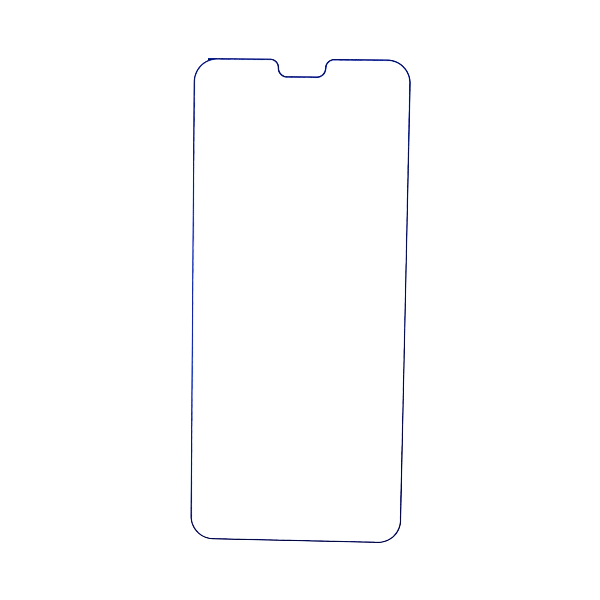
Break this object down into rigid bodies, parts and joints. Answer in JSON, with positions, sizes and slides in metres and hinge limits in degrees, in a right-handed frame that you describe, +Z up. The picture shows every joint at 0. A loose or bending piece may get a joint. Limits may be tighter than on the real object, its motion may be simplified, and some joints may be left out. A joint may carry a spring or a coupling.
{
  "type": "phone screen protector",
  "caption": "Clear toughened-glass phone screen protector: a thin rounded sheet with a notch in its top edge for the earpiece and front camera, and a rolled edge all round.",
  "frame": {"origin": "middle of the underside, the adhesive face that lies on the display", "axes": "+X across the phone, +Y along it towards the notch, +Z up and away from the display"},
  "size_m": [0.0676, 0.1524, 0.0003],
  "materials": {
    "clear_glass": "polished clear glass with a dark blue ground edge"
  },
  "bodies": {
    "root": {"screen_protector": "clear_glass"}
  },
  "joints": []
}
